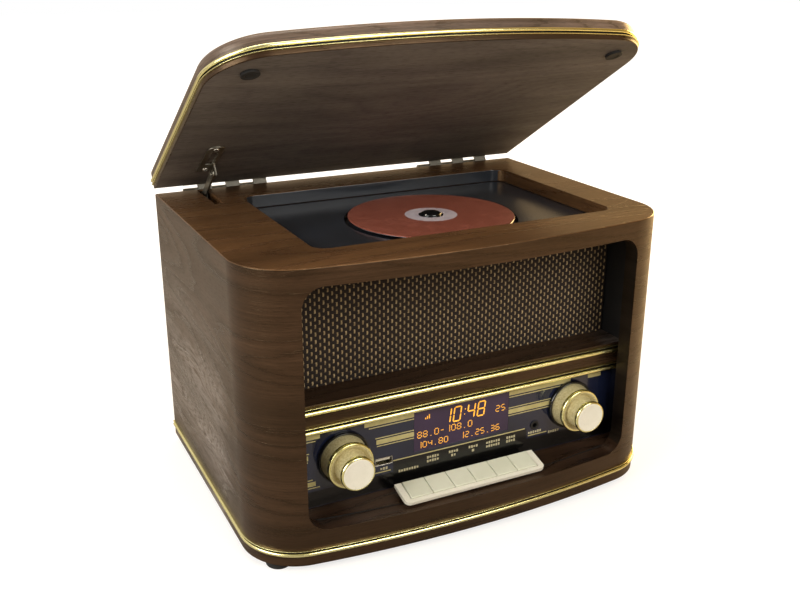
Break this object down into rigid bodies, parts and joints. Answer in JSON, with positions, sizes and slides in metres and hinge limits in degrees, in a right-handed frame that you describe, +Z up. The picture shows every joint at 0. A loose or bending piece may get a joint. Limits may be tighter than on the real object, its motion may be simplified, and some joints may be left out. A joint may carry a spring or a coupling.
{
  "type": "stereo music centre",
  "caption": "Wooden table-top music centre with a hinged lid over a disc player, a cloth speaker front, a lit display, two rotary knobs and a row of keys.",
  "frame": {"origin": "under the middle of the bounding box, on the plane of the feet", "axes": "+Z up, -Y towards the front with its display and knobs, +X towards the right seen from the front"},
  "size_m": [0.3126, 0.2378, 0.3363],
  "materials": {
    "walnut": "satin",
    "gold": "polished",
    "rubber": "matt",
    "black_board": "matt",
    "black_plastic": "satin",
    "black_gloss": "gloss",
    "nylon": "satin",
    "screw_steel": "polished",
    "hinge_steel": "satin",
    "grille_cloth": "woven",
    "basket_steel": "satin",
    "cone_paper": "matt",
    "printed_panel": "satin",
    "display_glass": "gloss",
    "circuit_board": "satin",
    "core_steel": "satin",
    "disc": "gloss",
    "ivory": "satin"
  },
  "bodies": {
    "cabinet": {"cabinet_shell": "walnut", "top_board": "walnut", "base_board": "walnut", "base_trim": "gold", "feet": "rubber", "back_panel": "black_board", "rear_screws": "screw_steel", "mains_inlet": "black_plastic", "aerial_socket": "screw_steel", "disc_deck": "black_gloss", "drive_frame": "black_plastic", "drive_motors": "screw_steel", "sled_rods": "screw_steel", "speaker_baffle": "black_board", "speaker_cloth": "grille_cloth", "speaker_left": "basket_steel", "speaker_right": "basket_steel", "speaker_cones": "cone_paper", "recess_liner": "black_plastic", "fascia_rail": "walnut", "fascia_bars": "gold", "control_panel": "printed_panel", "display_window": "display_glass", "display_module": "black_plastic", "knob_rings": "black_gloss", "encoders": "screw_steel", "usb_socket": "screw_steel", "headphone_socket": "black_plastic", "control_board": "circuit_board", "key_frame": "ivory", "key_board": "circuit_board", "main_board": "circuit_board", "transformer": "core_steel", "hinge_cabinet_leaves": "hinge_steel", "hinge_pins": "hinge_steel", "stay_bracket": "hinge_steel", "stay_pivot": "hinge_steel"},
    "lid": {"lid_panel": "walnut", "lid_trim": "gold", "lid_pads": "rubber", "hinge_lid_leaves": "hinge_steel", "lid_screws": "screw_steel", "stay_guide": "hinge_steel"},
    "stay": {"stay_arm": "hinge_steel"},
    "disc_spindle": {"disc": "disc", "spindle_hub": "black_gloss"},
    "sled": {"laser_sled": "black_plastic"},
    "pinion": {"sled_pinion": "nylon"},
    "volume_control": {"volume_knob": "ivory", "volume_rings": "gold", "volume_shaft": "screw_steel"},
    "select_slide": {"select_plunger": "black_plastic"},
    "select_control": {"select_knob": "ivory", "select_rings": "gold"},
    "button_1": {"key_1": "ivory"},
    "button_2": {"key_2": "ivory"},
    "button_3": {"key_3": "ivory"},
    "button_4": {"key_4": "ivory"},
    "button_5": {"key_5": "ivory"},
    "button_6": {"key_6": "ivory"}
  },
  "joints": [
    {"name": "lid_hinge", "type": "hinge", "parent": "cabinet", "child": "lid", "pos_m": [0, 0.11197, 0.203], "axis": [1, 0, 0], "range_deg": [0, 31]},
    {"name": "stay_swing", "type": "hinge", "parent": "cabinet", "child": "stay", "pos_m": [-0.12, 0.10237, 0.2007], "axis": [1, 0, 0], "range_deg": [0, 38.82]},
    {"name": "disc_spin", "type": "hinge", "parent": "cabinet", "child": "disc_spindle", "pos_m": [0.0155, -0.00863, 0.197], "axis": [0, 0, 1], "continuous": true},
    {"name": "laser_slide", "type": "slide", "parent": "cabinet", "child": "sled", "axis": [0, 1, 0], "range_m": [0, 0.034]},
    {"name": "pinion_turn", "type": "hinge", "parent": "cabinet", "child": "pinion", "pos_m": [0.0445, 0.03237, 0.1795], "axis": [0, 0, -1], "range_deg": [0, 336.87]},
    {"name": "volume_turn", "type": "hinge", "parent": "cabinet", "child": "volume_control", "pos_m": [-0.0895, -0.08713, 0.065], "axis": [0, -1, 0], "continuous": true},
    {"name": "select_push", "type": "slide", "parent": "cabinet", "child": "select_slide", "axis": [0, 1, 0], "range_m": [0, 0.001], "stiffness_N_per_m": 800, "springref_m": -0.0005},
    {"name": "select_turn", "type": "hinge", "parent": "select_slide", "child": "select_control", "pos_m": [0.0895, -0.08713, 0.065], "axis": [0, -1, 0], "continuous": true},
    {"name": "key_1_press", "type": "slide", "parent": "cabinet", "child": "button_1", "axis": [0, 0.2419, -0.9703], "range_m": [0, 0.0012], "stiffness_N_per_m": 600, "springref_m": -0.0006},
    {"name": "key_2_press", "type": "slide", "parent": "cabinet", "child": "button_2", "axis": [0, 0.2419, -0.9703], "range_m": [0, 0.0012], "stiffness_N_per_m": 600, "springref_m": -0.0006},
    {"name": "key_3_press", "type": "slide", "parent": "cabinet", "child": "button_3", "axis": [0, 0.2419, -0.9703], "range_m": [0, 0.0012], "stiffness_N_per_m": 600, "springref_m": -0.0006},
    {"name": "key_4_press", "type": "slide", "parent": "cabinet", "child": "button_4", "axis": [0, 0.2419, -0.9703], "range_m": [0, 0.0012], "stiffness_N_per_m": 600, "springref_m": -0.0006},
    {"name": "key_5_press", "type": "slide", "parent": "cabinet", "child": "button_5", "axis": [0, 0.2419, -0.9703], "range_m": [0, 0.0012], "stiffness_N_per_m": 600, "springref_m": -0.0006},
    {"name": "key_6_press", "type": "slide", "parent": "cabinet", "child": "button_6", "axis": [0, 0.2419, -0.9703], "range_m": [0, 0.0012], "stiffness_N_per_m": 600, "springref_m": -0.0006}
  ],
  "couplings": [
    {"joint": "stay_swing", "follows": "lid_hinge", "ratio": 1.2427},
    {"joint": "pinion_turn", "follows": "laser_slide", "rad_per_m": 172.41}
  ]
}
